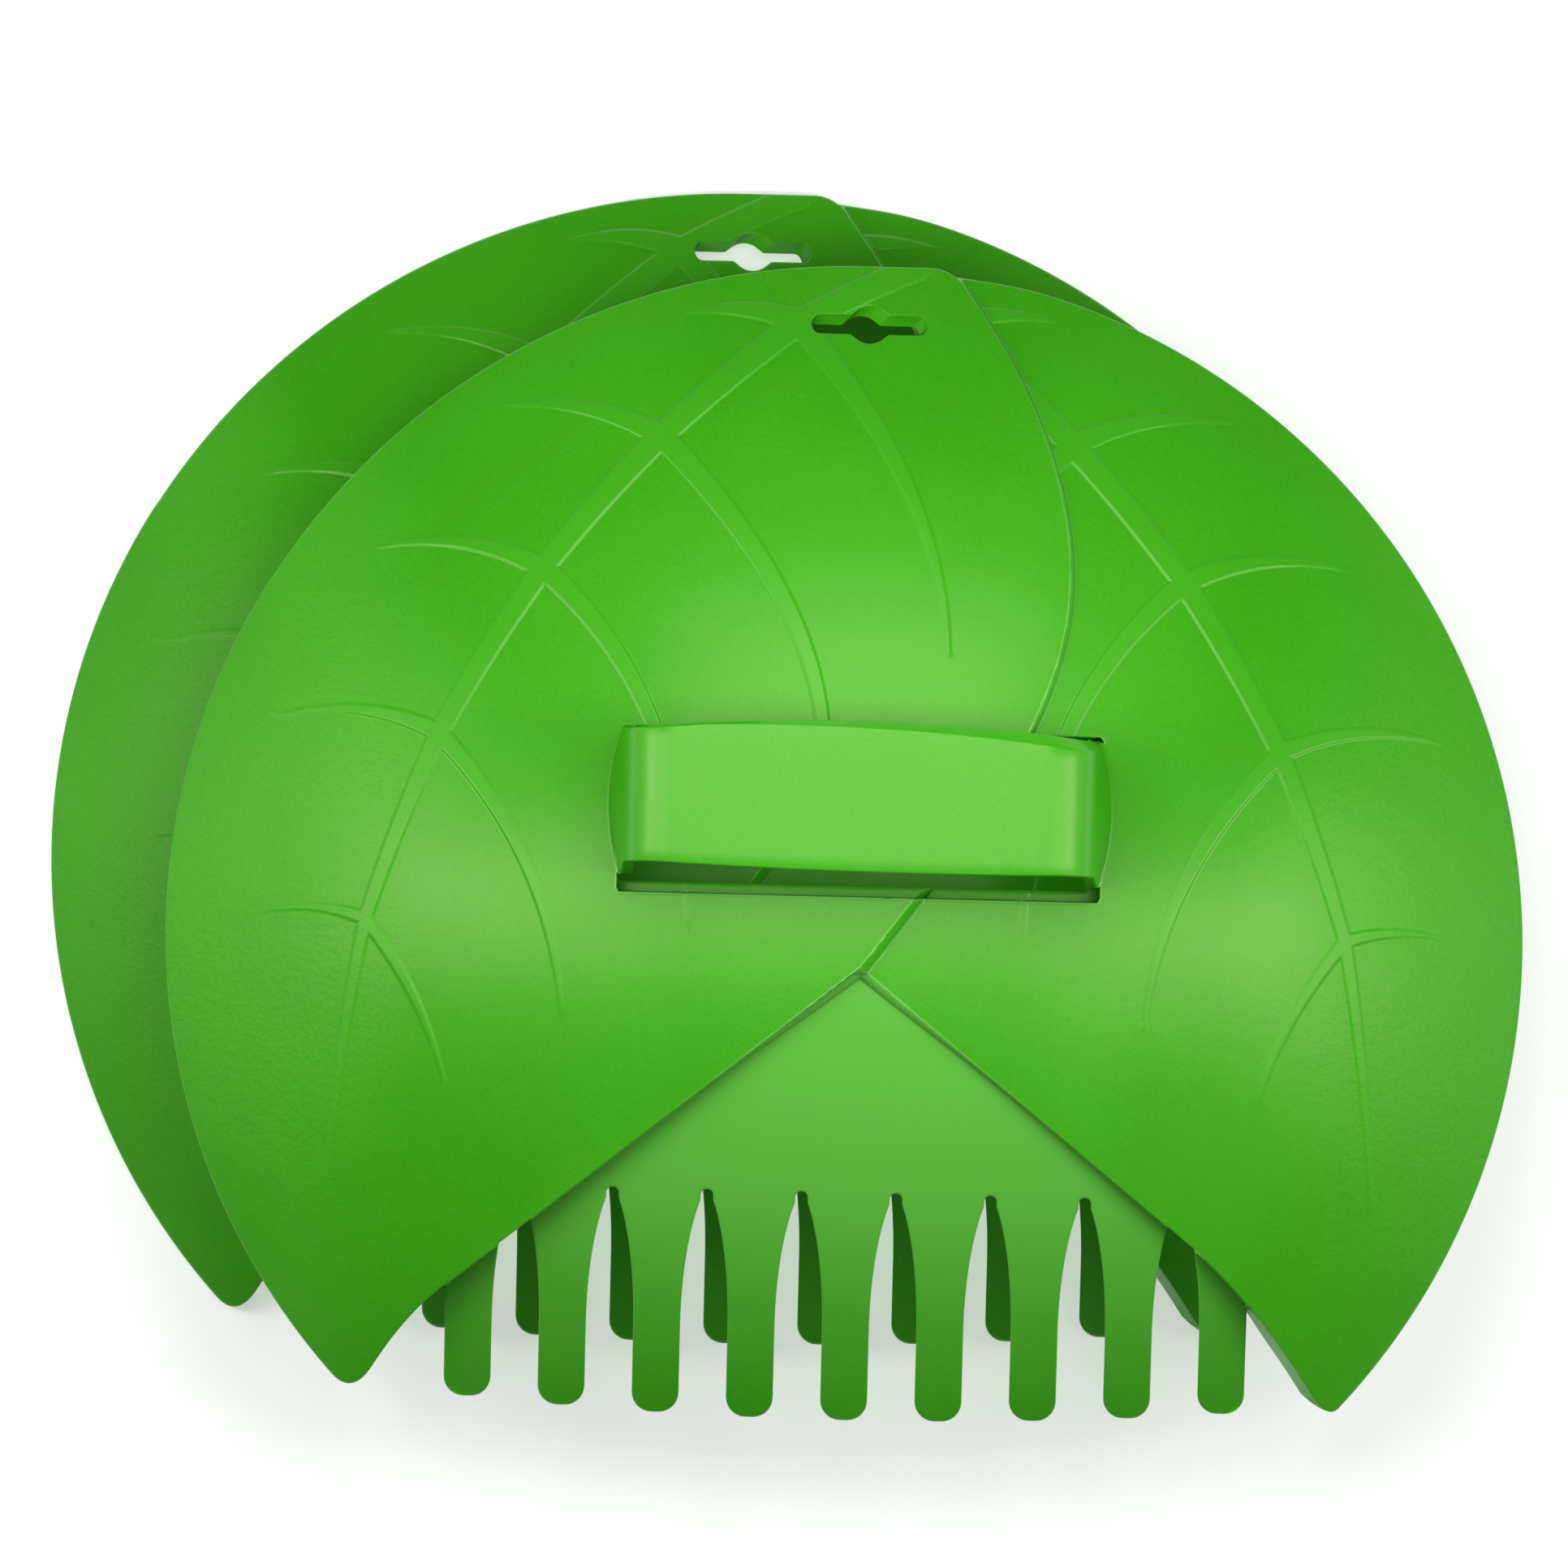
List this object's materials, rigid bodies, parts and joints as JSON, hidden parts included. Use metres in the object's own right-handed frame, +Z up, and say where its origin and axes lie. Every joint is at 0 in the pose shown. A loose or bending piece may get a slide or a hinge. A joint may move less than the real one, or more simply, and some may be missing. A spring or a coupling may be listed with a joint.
{
  "type": "hand leaf rake pair",
  "caption": "Stacked pair of shallow leaf-shaped hand rake scoops, each with a strap handle, a hand slot, a hang slot and blunt tines.",
  "frame": {"origin": "middle of the pair in plan, on the plane that the rear scoop rests on", "axes": "+X to the right and +Y from the tines to the hang slot, seen from above; +Z up, out of the domes"},
  "size_m": [0.4026, 0.3341, 0.1425],
  "materials": {
    "green_polypropylene": "satin moulded polypropylene, fine leather grain on the outer lobes, smooth in the middle"
  },
  "bodies": {
    "rear_scoop": {"rear_scoop": "green_polypropylene"},
    "front_scoop": {"front_scoop": "green_polypropylene"}
  },
  "joints": [
    {"name": "front_scoop_lift", "type": "slide", "parent": "rear_scoop", "child": "front_scoop", "axis": [0, 0, 1], "range_m": [0, 0.15]}
  ]
}
